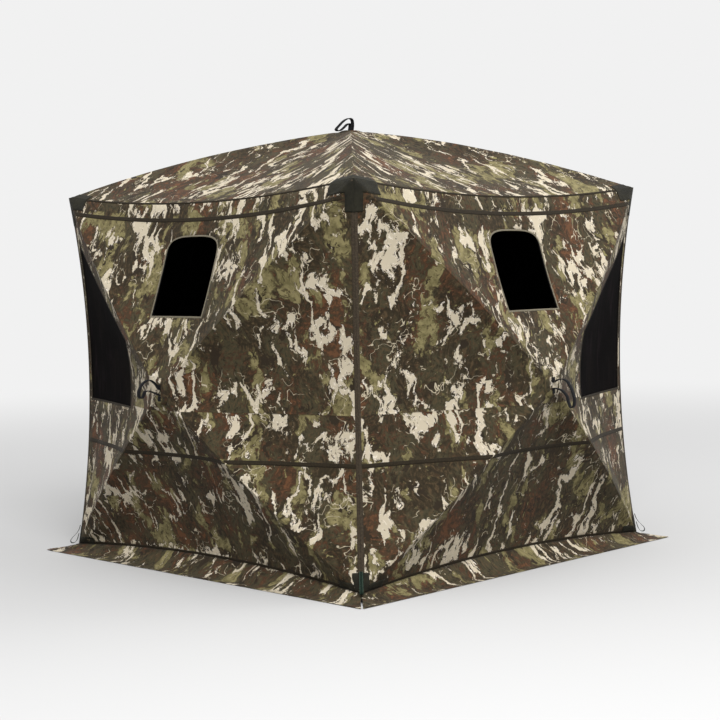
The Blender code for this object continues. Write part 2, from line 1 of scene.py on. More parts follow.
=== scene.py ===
"""The looks of a pop-up ground blind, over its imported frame: fabric, webbing, print."""

import json
from math import cos, pi, radians, sin

import bpy
import numpy as np
from mathutils import Matrix, Vector
from mathutils.geometry import delaunay_2d_cdt
from mathutils.kdtree import KDTree


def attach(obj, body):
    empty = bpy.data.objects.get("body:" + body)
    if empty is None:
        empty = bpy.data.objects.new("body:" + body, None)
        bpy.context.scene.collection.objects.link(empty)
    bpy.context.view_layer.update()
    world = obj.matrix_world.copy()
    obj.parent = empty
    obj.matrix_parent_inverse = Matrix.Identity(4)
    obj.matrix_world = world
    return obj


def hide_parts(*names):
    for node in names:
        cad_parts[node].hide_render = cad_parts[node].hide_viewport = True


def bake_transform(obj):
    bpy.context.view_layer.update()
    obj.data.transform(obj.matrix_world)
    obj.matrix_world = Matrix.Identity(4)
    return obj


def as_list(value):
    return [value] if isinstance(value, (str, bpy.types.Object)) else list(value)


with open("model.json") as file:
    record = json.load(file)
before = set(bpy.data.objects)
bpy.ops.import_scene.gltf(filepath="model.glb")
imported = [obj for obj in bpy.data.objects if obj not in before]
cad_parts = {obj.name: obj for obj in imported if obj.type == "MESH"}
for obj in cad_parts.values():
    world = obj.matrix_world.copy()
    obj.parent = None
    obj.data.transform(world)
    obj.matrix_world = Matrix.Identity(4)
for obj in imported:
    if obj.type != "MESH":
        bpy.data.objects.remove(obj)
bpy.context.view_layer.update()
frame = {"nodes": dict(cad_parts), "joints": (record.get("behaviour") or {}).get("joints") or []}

# The frame's own sizes, in metres
HALF = 0.9525
EAVE_Z = 1.69
BASE_Z = 0.03
HUB_Z = 0.815
HUB_OUT = 0.238
APEX_Z = 1.978
CORNER_BOW = 0.05
EAVE_SAG = 0.055
EAVE_IN = 0.015
BASE_RISE = 0.04
BASE_IN = 0.02
ROD_BOW = 0.028
GORE_SAG = 0.016
ROOF_LOFT = 0.008  # the roof's cloth stands this much prouder than its rods, half way out
LOW_PULLS = (0.17, 0.0085)  # how far the pulls reach from a corner, and how high they are
HIGH_PULLS = (0.11, 0.0022)
SLACK = 0.0013
HUB_FLAT = 0.06  # the flat part round a hub, as a share of the way to the outline
HUB_HOLE = 0.0155
MITER_REACH = 0.012  # how far from an outline the lift starts to lean
PLATE_TOP = 0.0065
SKIRT_FLAT = 0.082  # out from the wall's foot, where a flap reaches the ground
SKIRT_OUT = 0.1145
SKIRT_SPLIT = 0.006
GROUND = 0.0007  # where the cloth's middle lies on the ground
SILL_Z = 1.14
WINDOW_HALF = 0.17
WINDOW_SHOULDER = 1.40
WINDOW_TOP = 1.485
ARCH_POWER = 0.6
TRIM_WIDTH = 0.022
TRIM_DEPTH = 0.007
COVER_MARGIN = 0.018
COVER_DROP = 0.018
MESH_CORNERS = ((0.865, 0.735), (0.355, 0.73), (0.355, 1.03), (0.885, 1.46))
DOOR_CORNERS = ((0.855, 0.24), (0.30, 0.66), (0.30, 0.99), (0.855, 1.44))
DOOR_FRAME_WIDTH = 0.024

# What is sewn on the fabric
CLOTH = 0.0012
GRID = 0.02
SEAM_Z = 0.74  # where a wall's two cuts of print meet
SEAM_THICK = 0.0006
MESH_END = 0.345  # where a wall's seam ends at the mesh, and at the door
DOOR_END = 0.29
BAND_Z = 0.535  # the band round the lower part of the walls
BAND_RUN = 0.90  # half the length of the upper band, and of the cut along the seam
EAVE_BAND_DROP = 0.068  # from the eave down to the upper band, at its ends
EAVE_BAND_SAG = 0.008  # how much less it lies below the eave there than in the middle
TAPE = 0.018
TAPE_THICK = 0.0014
TAPE_STEP = 0.016  # between a tape's cross sections
CORNER_GAP = 0.012  # from the outline to the ends of the lower band and of the seam
CORNER_TAPE = 0.0125  # the half of a corner's tape that lies on one wall
# Width of the narrow tapes along both sides of the eave fold: the eave's seam, in dark webbing that also
# paints the fold's line of shade
EAVE_SHADE_TAPE = 0.005
BASE_BAND = 0.012
OPENING_GAP = 0.0025
BINDING, BINDING_OUT = 0.0075, 0.0022  # a tape's width, and its middle's place out of the opening
MESH_TAPE, MESH_TAPE_OUT = 0.009, 0.002
DOOR_TAPE, DOOR_TAPE_OUT = 0.013, 0.005
DOOR_HEM, DOOR_HEM_OUT = 0.011, -0.0085
JOIN_SEAM, ROD_SEAM = 0.009, 0.010
MESH_LAP = 0.006
NET_THICK = 0.0008
PATCH_LIFT = CLOTH + 0.0011
PATCH_THICK = 0.001
COVER_THICK = 0.0014
COVER_DISH = 0.003
COVER_TURN = 163  # degrees from hanging to lying shut on the trim
HEM_WIDTH = 0.012
HEM_STEP = 0.02
STRAP_WIDTH = 0.02
STRAP_THICK = 0.0036
COVER_RADIUS = 0.058
COVER_FLAT = 0.046  # the part of a hub's cover that lies over the plate
ROOM_LIGHT = 0.88

TOP_RUNS, TOP_DEPTHS = (0.135, 0.145), (0.050, 0.032)  # along the eave, and down the corner
ROOF_RUNS, ROOF_DEPTHS = (0.135, 0.135), (0.032, 0.032)
BASE_RUNS, BASE_DEPTHS = (0.12, 0.10), (0.034, 0.030)
LOOP_WAY = (  # a stake loop's, in millimetres out from the foot of a corner and up
    (4, 118), (8, 100), (18, 80), (34, 62), (44, 46), (40, 34), (26, 33), (16, 44), (11, 60), (8, 78),
)
LOOP_WIDTH = 0.016
TAB_THICK = 0.0016

WALLS = ("front", "right", "back", "left")
CORNERS = ("front_right", "back_right", "back_left", "front_left")
MESH_SIDE = {"front": 1, "right": -1, "back": 1, "left": -1}
DOOR_WALL = "right"
SHUT_WINDOWS = ("right", "back")
PRINTED = ("camo", "lining")
PRINT_SHIFT = {"front": (3.1, 0.4), "right": (9.7, 5.3), "back": (14.2, 2.2), "left": (20.6, 7.9)}


# Shader graphs


class Tree:
    """A node tree, with short calls for the nodes that it needs."""

    def __init__(self, tree):
        self.nodes, self.links = tree.nodes, tree.links

    def node(self, kind, inputs=(), output=0, **settings):
        node = self.nodes.new(kind)
        for key, value in settings.items():
            setattr(node, key, value)
        for key, value in dict(inputs).items():
            if isinstance(value, bpy.types.NodeSocket):
                self.links.new(value, node.inputs[key])
            else:
                node.inputs[key].default_value = value
        return node.outputs[output]

    def math(self, operation, a, b=0.0, c=0.0):
        return self.node("ShaderNodeMath", {0: a, 1: b, 2: c}, operation=operation)

    def vector(self, operation, a, b):
        return self.node("ShaderNodeVectorMath", {0: a, 1: b}, operation=operation)

    def noise(self, at, scale, detail, roughness, output=0):
        values = {"Vector": at, "Scale": scale, "Detail": detail, "Roughness": roughness}
        return self.node("ShaderNodeTexNoise", values, output)

    def slice(self, at, depth, *shape):
        """The noise of a flat pattern, cut at its own depth so that no two are alike."""
        return self.noise(self.vector("ADD", at, (0, 0, depth)), *shape)

    def step(self, value, low, high, **settings):
        """0 below low and 1 above high."""
        values = {"Value": value, "From Min": low, "From Max": high}
        return self.node("ShaderNodeMapRange", values, **settings)

    def mix(self, share, a, b):
        return self.node("ShaderNodeMix", {0: share, 6: a, 7: b}, 2, data_type="RGBA")

    def layers(self, colour, *layers):
        """A colour with others on it, each where its own pattern is high."""
        for pattern, low, high, top in layers:
            colour = self.mix(self.step(pattern, low, high), colour, top)
        return colour

    def slope(self, value, by, plus):
        return self.math("MULTIPLY_ADD", value, by, plus)

    def from_middle(self, value, middle=0.5):
        return self.math("ABSOLUTE", self.math("SUBTRACT", value, middle))

    def bump(self, height, distance, strength=1.0, normal=None):
        inputs = {"Height": height, "Distance": distance, "Strength": strength}
        if normal is not None:
            inputs["Normal"] = normal
        return self.node("ShaderNodeBump", inputs)


class Graph(Tree):
    """A material's node tree, which ends in its one shader."""

    def __init__(self, name, **settings):
        self.material = bpy.data.materials.new(name)
        self.material.use_nodes = True
        super().__init__(self.material.node_tree)
        self.shader = self.nodes["Principled BSDF"]
        for key, value in settings.items():
            self.shader.inputs[key.replace("_", " ")].default_value = value

    def finish(self, colour, roughness=None, normal=None):
        for key, value in (("Base Color", colour), ("Roughness", roughness), ("Normal", normal)):
            if value is not None:
                self.links.new(value, self.shader.inputs[key])
        return self.material


def rgb(red, green, blue):
    """A linear colour from its eight-bit display values."""
    linear = [((c / 255 + 0.055) / 1.055) ** 2.4 if c > 10 else c / 3295 for c in (red, green, blue)]
    return (*linear, 1.0)


def scaled(graph, at, x, y):
    return graph.vector("MULTIPLY", at, (x, y, 1.0))


def weave_height(graph, at, pitch):
    """Threads over and under each other, from coordinates in metres."""
    parts = graph.node("ShaderNodeSeparateXYZ", {0: at})
    other = parts.node.outputs[1]
    warp = graph.math("SINE", graph.math("MULTIPLY", parts, 2 * pi / pitch))
    weft = graph.math("SINE", graph.math("MULTIPLY", other, 2 * pi / pitch))
    return graph.math("MULTIPLY", warp, weft)


def shaken(graph, at, base, scale, roughness, size):
    """The base coordinates, pushed about in their plane by a noise."""
    push = graph.vector("ADD", graph.noise(at, scale, 3.0, roughness, 1), (-0.5, -0.5, -0.5))
    return graph.vector("ADD", base, graph.vector("MULTIPLY", push, (size, size, 0.0)))


def camo_material():
    """A torn-bark print: dark ground, rust and olive leaves, pale flakes and twigs."""
    g = Graph("camo_cloth", Sheen_Weight=0.04, Sheen_Roughness=0.5, Specular_IOR_Level=0.16)
    at = g.node("ShaderNodeUVMap", uv_map="cloth")
    bent = shaken(g, at, at, 7.0, 0.5, 0.11)
    torn = shaken(g, at, bent, 60.0, 0.6, 0.016)
    grain, bark = scaled(g, torn, 1.0, 0.6), scaled(g, torn, 1.0, 0.42)
    # Patterns
    ground = g.slice(grain, 3.0, 8.0, 5.0, 0.6)
    fine = g.slice(scaled(g, bent, 1.0, 0.6), 7.0, 75.0, 5.0, 0.7)
    mottle = g.slice(bent, 13.0, 48.0, 5.0, 0.72)
    tone = g.slice(bent, 17.0, 30.0, 5.0, 0.68)
    rust = g.slope(mottle, 0.95, g.slice(grain, 11.0, 6.5, 4.0, 0.6))
    olive = g.slope(mottle, -0.12, g.slice(grain, 23.0, 7.0, 6.0, 0.58))
    chip = g.slice(grain, 27.0, 26.0, 5.0, 0.66)
    dark = g.slice(grain, 31.0, 14.0, 6.0, 0.66)
    place = g.math("MINIMUM", g.slice(bent, 41.0, 5.0, 2.0, 0.5), 0.59)
    vein = g.from_middle(g.slice(bark, 47.0, 9.0, 2.0, 0.5))
    shred = g.slice(bark, 51.0, 42.0, 6.0, 0.7)
    flake = g.slope(vein, -3.0, g.slope(shred, 0.80, place))
    dust = g.slope(fine, 0.7, flake)
    pit = g.slice(bent, 57.0, 85.0, 4.0, 0.65)
    twig = g.from_middle(g.slice(bent, 61.0, 9.0, 3.0, 0.5))
    rare = g.step(g.slice(at, 67.0, 6.0, 3.0, 0.6), 0.53, 0.56)
    line = g.math("MULTIPLY", g.math("SUBTRACT", 1.0, g.step(twig, 0.0025, 0.006)), rare)
    soil = g.noise(at, 2.3, 4.0, 0.6)
    # Colours
    leaf = g.layers(
        rgb(108, 100, 66), (tone, 0.42, 0.58, rgb(142, 132, 92)), (mottle, 0.55, 0.575, rgb(84, 74, 49))
    )
    pale = g.layers(
        rgb(236, 226, 210), (tone, 0.5, 0.66, rgb(206, 193, 170)), (pit, 0.525, 0.56, rgb(92, 74, 54))
    )
    colour = g.layers(
        rgb(50, 42, 28),
        (ground, 0.47, 0.53, rgb(66, 61, 43)),
        (fine, 0.5, 0.62, rgb(84, 68, 47)),
        (fine, 0.46, 0.38, rgb(40, 33, 22)),
        (rust, 1.0, 1.05, rgb(70, 50, 34)),
        (rust, 1.09, 1.16, rgb(102, 68, 44)),
        (olive, 0.49, 0.50, rgb(84, 76, 50)),
        (olive, 0.503, 0.513, leaf),
        (chip, 0.635, 0.645, rgb(134, 126, 84)),
        (dark, 0.60, 0.61, rgb(46, 37, 26)),
        (flake, 0.838, 0.858, rgb(40, 31, 22)),
        (flake, 0.868, 0.881, pale),
        (dust, 1.23, 1.245, rgb(206, 194, 170)),
    )
    colour = g.mix(line, colour, rgb(196, 184, 158))
    colour = g.mix(g.math("MULTIPLY", g.step(soil, 0.45, 0.75), 0.10), colour, rgb(98, 90, 72))
    normal = g.bump(g.noise(scaled(g, at, 1.0, 0.45), 16.0, 3.0, 0.5), 0.006, 0.55)
    normal = g.bump(weave_height(g, at, 0.0013), 0.00012, 0.6, normal)
    return g.finish(colour, g.slope(soil, 0.2, 0.70), normal)


def webbing_material(name, dark, light, thread):
    """Ribbed tape: its UV runs along it and across it, in metres."""
    g = Graph(name, Sheen_Weight=0.02, Sheen_Roughness=0.4, Specular_IOR_Level=0.14)
    at = g.node("ShaderNodeUVMap", uv_map="cloth")
    parts = g.node("ShaderNodeSeparateXYZ", {0: at})
    across = parts.node.outputs[1]
    ribs = g.math("SINE", g.math("MULTIPLY", parts, 2 * pi / 0.0022))
    slant = g.math("ADD", parts, g.math("ABSOLUTE", across))
    twill = g.math("SINE", g.math("MULTIPLY", slant, 2 * pi / 0.0031))
    tone = g.noise(at, 140.0, 3.0, 0.6)
    colour = g.mix(g.step(tone, 0.35, 0.68), dark, light)
    away = g.from_middle(g.math("ABSOLUTE", across), 0.0062)
    row = g.math("SUBTRACT", 1.0, g.step(away, 0.0004, 0.0007))
    dash = g.step(g.math("SINE", g.math("MULTIPLY", parts, 2 * pi / 0.0046)), -0.25, 0.05)
    stitch = g.math("MULTIPLY", row, dash)
    colour = g.mix(stitch, colour, thread)
    height = g.math("ADD", g.math("MULTIPLY", ribs, 0.5), g.math("MULTIPLY", twill, 0.35))
    height = g.math("SUBTRACT", height, g.math("MULTIPLY", stitch, 1.6))
    return g.finish(colour, g.slope(tone, 0.25, 0.58), g.bump(height, 0.00035, 0.7))


def oxford_material(name, dark, light):
    g = Graph(name, Sheen_Weight=0.02, Sheen_Roughness=0.5, Specular_IOR_Level=0.14)
    at = g.node("ShaderNodeUVMap", uv_map="cloth")
    tone = g.noise(at, 22.0, 5.0, 0.65)
    colour = g.mix(g.step(tone, 0.36, 0.64), dark, light)
    slack = g.bump(g.noise(at, 30.0, 3.0, 0.5), 0.004, 0.4)
    normal = g.bump(weave_height(g, at, 0.0018), 0.00025, 0.7, slack)
    return g.finish(colour, g.slope(tone, 0.24, 0.55), normal)


def plain_material(name, colours, tone, span, rough, grain, depth, strength, **settings):
    """A mottled surface with a fine grain, from coordinates in metres."""
    g = Graph(name, **settings)
    at = g.node("ShaderNodeTexCoord", output=3)
    tone = g.noise(at, *tone)
    colour = g.mix(g.step(tone, *span), *colours)
    normal = g.bump(g.noise(at, *grain), depth, strength)
    return g.finish(colour, g.slope(tone, *rough), normal)


def mesh_material():
    """Knitted see-through mesh, near black, with the print showing faintly in streaks."""
    g = Graph("see_through_mesh", Specular_IOR_Level=0.02)
    at = g.node("ShaderNodeUVMap", uv_map="cloth")
    streak = g.noise(scaled(g, at, 1.0, 0.16), 26.0, 6.0, 0.66)
    blotch = g.slice(scaled(g, at, 1.0, 0.4), 5.0, 7.0, 4.0, 0.6)
    colour = g.layers(
        rgb(7, 5, 5), (streak, 0.5, 0.68, rgb(30, 24, 26)), (blotch, 0.55, 0.68, rgb(18, 14, 12))
    )
    holes = g.node("ShaderNodeTexVoronoi", {"Vector": at, "Scale": 520.0}, feature="F1")
    colour = g.mix(g.step(holes, 0.15, 0.55), rgb(8, 7, 7), colour)
    return g.finish(colour, g.slope(streak, 0.2, 0.7), g.bump(holes, 0.0004, 0.6))


def zip_material():
    g = Graph("zip_metal", Metallic=1.0)
    at = g.node("ShaderNodeTexCoord", output=3)
    tone = g.noise(at, 300.0, 4.0, 0.7)
    colour = g.mix(g.step(tone, 0.4, 0.65), rgb(92, 92, 94), rgb(148, 148, 150))
    return g.finish(colour, g.slope(tone, 0.3, 0.2), g.bump(tone, 0.0002, 0.5))


def make_materials():
    dark_thread = rgb(38, 34, 26)
    return {
        "camo": camo_material(),
        "lining": plain_material(  # the black coated back of the print
            "black_lining", (rgb(9, 9, 10), rgb(17, 17, 18)), (9.0, 4.0, 0.6), (0.4, 0.65),
            (0.2, 0.62), (420.0, 2.0, 0.5), 0.0002, 0.5, Specular_IOR_Level=0.06,
        ),
        "mesh": mesh_material(),
        "plastic": plain_material(
            "hub_nylon", (rgb(26, 27, 28), rgb(40, 41, 42)), (38.0, 4.0, 0.6), (0.35, 0.7),
            (0.22, 0.38), (900.0, 2.0, 0.5), 0.00008, 0.6, Specular_IOR_Level=0.45,
        ),
        "fibreglass": plain_material(
            "rod_fibreglass", (rgb(28, 29, 31), rgb(58, 59, 61)), (70.0, 5.0, 0.7), (0.42, 0.6),
            (0.2, 0.3), (600.0, 2.0, 0.6), 0.0001, 0.5,
            Specular_IOR_Level=0.5, Coat_Weight=0.2, Coat_Roughness=0.3,
        ),
        "zip": zip_material(),
        "patch": oxford_material("corner_oxford", rgb(30, 29, 22), rgb(44, 42, 32)),
        "tape": webbing_material("edge_tape", rgb(54, 46, 36), rgb(78, 68, 55), dark_thread),
        "band": webbing_material("dark_band", rgb(36, 30, 20), rgb(52, 44, 31), rgb(24, 20, 14)),
        "binding": webbing_material("binding", rgb(104, 98, 82), rgb(140, 132, 114), rgb(84, 78, 64)),
        "black": webbing_material("black_webbing", rgb(9, 9, 11), rgb(21, 21, 25), rgb(44, 44, 50)),
        "green": webbing_material("green_webbing", rgb(12, 24, 18), rgb(24, 42, 33), rgb(104, 128, 110)),
    }


# The shape of a stretched panel. Every array of points has one row for each point.


def lengths(vectors):
    return np.linalg.norm(vectors, axis=1)


def unit(vectors):
    return vectors / lengths(vectors)[:, None]


def circle(count):
    angles = np.linspace(0, 2 * pi, count + 1)[:-1]
    return np.stack([np.cos(angles), np.sin(angles)], 1)


def quarter_turn(index):
    return Matrix.Rotation(index * pi / 2, 4, "Z")


def placed(points, matrix):
    """Points moved by a matrix."""
    matrix = np.array(matrix)
    return points @ matrix[:3, :3].T + matrix[:3, 3]


def smoothstep(x):
    x = np.clip(x, 0.0, 1.0)
    return x * x * (3 - 2 * x)


def corner_bow(z):
    """How far a corner's line is drawn in at a height."""
    along = (z - BASE_Z) / (EAVE_Z - BASE_Z)
    return CORNER_BOW * 4 * along * (1 - along)


def by_side(side, *values):
    return np.select([side == i for i in range(4)], values)


def round_the_square(t):
    """The side that t in 0..4 is on, and where along it, from -1 to 1."""
    t = np.mod(t, 4)
    side = np.floor(t).astype(int)
    return side, 2 * (t - side) - 1


def wall_outline(t):
    side, s = round_the_square(t)
    free = 1 - s * s
    up = np.where(side == 1, s, -s)
    z = HUB_Z + up * np.where(up > 0, EAVE_Z - HUB_Z, HUB_Z - BASE_Z)
    bow = corner_bow(z)
    a = by_side(side, s * HALF, HALF - bow, -s * HALF, bow - HALF)
    b = by_side(side, BASE_Z + BASE_RISE * free, z, EAVE_Z - EAVE_SAG * free, z)
    w = by_side(side, -BASE_IN * free, -bow, -EAVE_IN * free, -bow)
    return np.stack([a, b, w], 1)


def roof_outline(t):
    side, s = round_the_square(t)
    free = 1 - s * s
    inner = HALF - EAVE_IN * free
    a = by_side(side, s * HALF, inner, -s * HALF, -inner)
    b = by_side(side, -inner, s * HALF, inner, -s * HALF)
    return np.stack([a, b, EAVE_Z - EAVE_SAG * free], 1)


class Panel:
    """One stretched panel in its own plane: a across it, b up it and w out of it."""

    def __init__(self, name, outline, hub, hub_w, place, seed):
        self.name, self.outline, self.hub, self.hub_w = name, outline, np.array(hub), hub_w
        self.place = np.array(place)
        self.back = np.linalg.inv(self.place)
        self.seed = seed
        self.steps = np.linspace(0, 4, 1601)
        edge = outline(np.minimum(self.steps, 4 - 1e-9))[:, :2] - self.hub
        self.angles = np.unwrap(np.arctan2(edge[:, 1], edge[:, 0]))

    def polar(self, ab):
        """How far out each point is, 1 being the outline, with the outline there and s."""
        d = ab - self.hub
        start = self.angles[0]
        angle = start + np.mod(np.arctan2(d[:, 1], d[:, 0]) - start, 2 * pi)
        t = np.interp(angle, self.angles, self.steps)
        edge = self.outline(t)
        ring = lengths(d) / lengths(edge[:, :2] - self.hub)
        return ring, round_the_square(t)[1], edge

    def level(self, ab):
        """0 at the hub and 1 on the outline."""
        return np.maximum(0.0, (self.polar(ab)[0] - HUB_FLAT) / (1 - HUB_FLAT))

    def folds(self, ab, ring):
        """Pulls that spread from the corners and a slack between them, in metres."""
        total = np.zeros(len(ab))
        for i in range(4):
            corner = self.outline(np.array([float(i)]))[0, :2]
            low = self.name != "roof" and corner[1] < HUB_Z
            d = ab - corner
            away = lengths(d)
            inward = self.hub - corner
            turn = np.arctan2(d[:, 1], d[:, 0]) - np.arctan2(inward[1], inward[0])
            turn = np.mod(turn + pi, 2 * pi) - pi
            reach, size = LOW_PULLS if low else HIGH_PULLS
            fan = np.sin(11 * turn + self.seed + 1.7 * i) + 0.6 * np.sin(19 * turn + 2.3 * i)
            fan *= 1 - np.exp(-((turn / 0.14) ** 2))  # the rod holds the fabric along its run
            total += size * fan * away / reach * np.exp(1 - away / reach) * np.cos(turn) ** 2
        a, b = ab[:, 0] + 3 * self.seed, ab[:, 1] + self.seed
        slack = np.sin(9 * a + 3 * np.sin(5 * b)) * np.sin(7 * b + 2 * np.sin(6 * a))
        slack += 0.5 * np.sin(17 * a - 6 * b) * np.sin(11 * b + 4 * np.sin(3 * a))
        edge_share = smoothstep((1 - ring) / 0.07)
        hub_share = smoothstep((ring - HUB_FLAT) / 0.2)
        return (total + SLACK * slack) * edge_share * hub_share

    def height(self, ab):
        ring, s, edge = self.polar(ab)
        level = np.maximum(0.0, (ring - HUB_FLAT) / (1 - HUB_FLAT))
        crown = 4 * level * (1 - level) * (ROD_BOW * s**2 - GORE_SAG * (1 - s**2))
        if self.name == "roof":
            crown += ROOF_LOFT * 4 * level * (1 - level)
        return self.hub_w + level * (edge[:, 2] - self.hub_w) + crown + self.folds(ab, ring)

    def miter(self, ab):
        """The direction in which to lift off the fabric: square to it, and along the
        corner's own bisector at the outline, so that neighbouring pieces meet."""
        a, b = np.abs(ab[:, 0]), ab[:, 1]
        if self.name == "roof":
            sides = HALF - EAVE_IN * (1 - (b / HALF) ** 2) - a
            tops = HALF - EAVE_IN * (1 - (a / HALF) ** 2) - np.abs(b)
            up = np.sign(b)
        else:
            sides = HALF - corner_bow(b) - a
            tops = EAVE_Z - EAVE_SAG * (1 - (a / HALF) ** 2) - b
            up = 1.0
        ka = np.clip(1 - sides / MITER_REACH, 0, 1) * np.sign(ab[:, 0])
        kb = np.clip(1 - tops / MITER_REACH, 0, 1) * up
        return np.stack([ka, kb, np.ones(len(ab))], 1)

    def world(self, ab, lift=0.0):
        """Points on the panel, lifted off it, in the row frame."""
        ab = np.asarray(ab, float)
        local = np.column_stack([ab, self.height(ab)]) + self.miter(ab) * np.reshape(lift, (-1, 1))
        return placed(local, self.place)

    def flat(self, points):
        return placed(np.asarray(points, float), self.back)[:, :2]


def wall_place(index):
    stand = Matrix(((1, 0, 0, 0), (0, 0, -1, -HALF), (0, 1, 0, 0), (0, 0, 0, 1)))
    return quarter_turn(index) @ stand


def make_panels():
    panels = {}
    for i, wall in enumerate(WALLS):
        panels[wall] = Panel(wall, wall_outline, (0, HUB_Z), HUB_OUT, wall_place(i), 1.3 * i)
    panels["roof"] = Panel("roof", roof_outline, (0, 0), APEX_Z, Matrix(), 7.1)
    return panels


# Outlines in a panel's plane


def resampled(line, step, closed=False):
    """The line with points no further apart than the step, its own points kept."""
    line = np.asarray(line, float)
    ends = np.vstack([line, line[:1]]) if closed else line
    out = []
    for start, end in zip(ends, ends[1:]):
        count = max(1, int(np.ceil(np.linalg.norm(end - start) / step)))
        out += [start + (end - start) * i / count for i in range(count)]
    if not closed:
        out.append(ends[-1])
    return np.array(out)


def arch(margin=0.0, steps=28):
    half = WINDOW_HALF + margin
    crown = WINDOW_TOP - WINDOW_SHOULDER + margin
    points = [(-half, SILL_Z - margin), (half, SILL_Z - margin)]
    for i in range(steps + 1):
        angle = pi * i / steps
        x = half * abs(cos(angle)) ** ARCH_POWER * (1 if i < steps / 2 else -1)
        points.append((x, WINDOW_SHOULDER + crown * sin(angle) ** ARCH_POWER))
    return points


def quad(corners, side, margin=0.0):
    """Four corners, mirrored to their side and moved out by the margin."""
    points = np.array([(side * u, z) for u, z in corners])
    middle = points.mean(0)
    sides = []
    for start, end in zip(points, np.roll(points, -1, 0)):
        along = (end - start) / np.linalg.norm(end - start)
        normal = np.array([along[1], -along[0]])
        if normal @ (start - middle) < 0:
            normal = -normal
        sides.append((start + normal * margin, along))
    out = []
    for (p1, d1), (p2, d2) in zip(sides[-1:] + sides[:-1], sides):
        step = np.cross(p2 - p1, d2) / np.cross(d1, d2)
        out.append(p1 + d1 * step)
    return np.array(out)


def inside(outline, points):
    """Which points are inside a closed outline."""
    x, y = points[:, 0], points[:, 1]
    found = np.zeros(len(points), bool)
    for (x1, y1), (x2, y2) in zip(outline, np.roll(outline, -1, 0)):
        if y1 != y2:
            crosses = ((y1 > y) != (y2 > y)) & (x < (x2 - x1) * (y - y1) / (y2 - y1) + x1)
            found ^= crosses
    return found


# Meshes


def mesh_object(name, verts, faces, uvs, materials, indices=None):
    """An object from arrays: uvs has one row for each corner of each face."""
    mesh = bpy.data.meshes.new(name)
    mesh.from_pydata([tuple(v) for v in verts], [], faces)
    layer = mesh.uv_layers.new(name="cloth")
    layer.data.foreach_set("uv", np.asarray(uvs, np.float32).ravel())
    for material in materials:
        mesh.materials.append(MATERIALS[material])
    if indices is not None:
        mesh.polygons.foreach_set("material_index", np.asarray(indices, np.int32))
    mesh.polygons.foreach_set("use_smooth", [True] * len(mesh.polygons))
    mesh.update()
    obj = bpy.data.objects.new(name, mesh)
    bpy.context.scene.collection.objects.link(obj)
    return obj


def thicken(obj, thickness=CLOTH, inner=0):
    solidify = obj.modifiers.new("cloth", "SOLIDIFY")
    solidify.thickness = thickness
    solidify.offset = 0.0
    solidify.material_offset = inner


def triangles(outer, holes=(), lines=(), spacing=GRID):
    """Points and triangles that fill an outline and keep its holes and its lines."""
    loops = [(resampled(outer, spacing, True), True)]
    loops += [(resampled(hole, spacing * 0.8, True), True) for hole in holes]
    loops += [(resampled(line, spacing), False) for line in lines]
    points = np.vstack([loop for loop, _ in loops])
    edges = []
    first = 0
    for loop, closed in loops:
        count = len(loop)
        spans = count if closed else count - 1
        edges += [(first + i, first + (i + 1) % count) for i in range(spans)]
        first += count
    tree = KDTree(len(points))
    for i, point in enumerate(points):
        tree.insert((*point, 0.0), i)
    tree.balance()
    low, high = points.min(0), points.max(0)
    rows = np.arange(low[1], high[1], spacing * 0.87)
    for k, b in enumerate(rows):
        start = low[0] + (spacing / 2 if k % 2 else 0.0)
        line = [(a, b) for a in np.arange(start, high[0], spacing)]
        keep = [p for p in line if tree.find((*p, 0.0))[2] > spacing * 0.55]
        if keep:
            points = np.vstack([points, keep])
    found = delaunay_2d_cdt([Vector(p) for p in points], edges, [], 0, 1e-6)
    flat = np.array([tuple(v) for v in found[0]])
    faces = np.array([f for f in found[2] if len(f) == 3])
    middle = flat[faces].mean(1)
    keep = inside(loops[0][0], middle)
    for hole, _ in loops[1 : 1 + len(holes)]:
        keep &= ~inside(hole, middle)
    faces = faces[keep]
    used, faces = np.unique(faces, return_inverse=True)
    return flat[used], faces.reshape(-1, 3)


def print_uv(panel, flat, faces):
    """The print's coordinates in metres, a cut of cloth being one run of them."""
    corners = flat[faces]
    middle = corners.mean(1)
    if panel.name == "roof":
        turn = np.round(np.arctan2(middle[:, 1], middle[:, 0]) / (pi / 2)).astype(int) % 4
        angle = -pi / 2 - turn * pi / 2
        c, s = np.cos(angle)[:, None], np.sin(angle)[:, None]
        u = corners[:, :, 0] * c - corners[:, :, 1] * s
        v = corners[:, :, 0] * s + corners[:, :, 1] * c
        return np.stack([u + 31.0 + 4.0 * turn[:, None], v + 12.0 * turn[:, None]], 2)
    shift = np.array(PRINT_SHIFT[panel.name])
    lower = (middle[:, 1] < SEAM_Z)[:, None, None]
    return corners + shift + np.where(lower, np.array([1.7, 2.6]), 0.0)


def cloth_object(name, panel, outer, holes=(), lines=(), lift=0.0, spacing=GRID, looks=PRINTED):
    """A sheet that lies on a panel, with the first look outside and the second inside."""
    flat, faces = triangles(outer, holes, lines, spacing)
    uvs = print_uv(panel, flat, faces)
    obj = mesh_object(name, panel.world(flat, lift), faces.tolist(), uvs, looks)
    obj["flat_area"] = area_of(flat, faces)
    return obj


def area_of(flat, faces):
    a, b, c = (flat[faces[:, i]] for i in range(3))
    return float(np.abs(np.cross(b - a, c - a)).sum() / 2)


def follow(obj, panel):
    """Bakes the object's place into its points and works out how far each point goes with the hub rather
    than the outline; nothing uses the result.
    """
    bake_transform(obj)
    co = np.zeros(len(obj.data.vertices) * 3)
    obj.data.vertices.foreach_get("co", co)
    weight = 1 - np.clip(panel.level(panel.flat(co.reshape(-1, 3))), 0, 1)


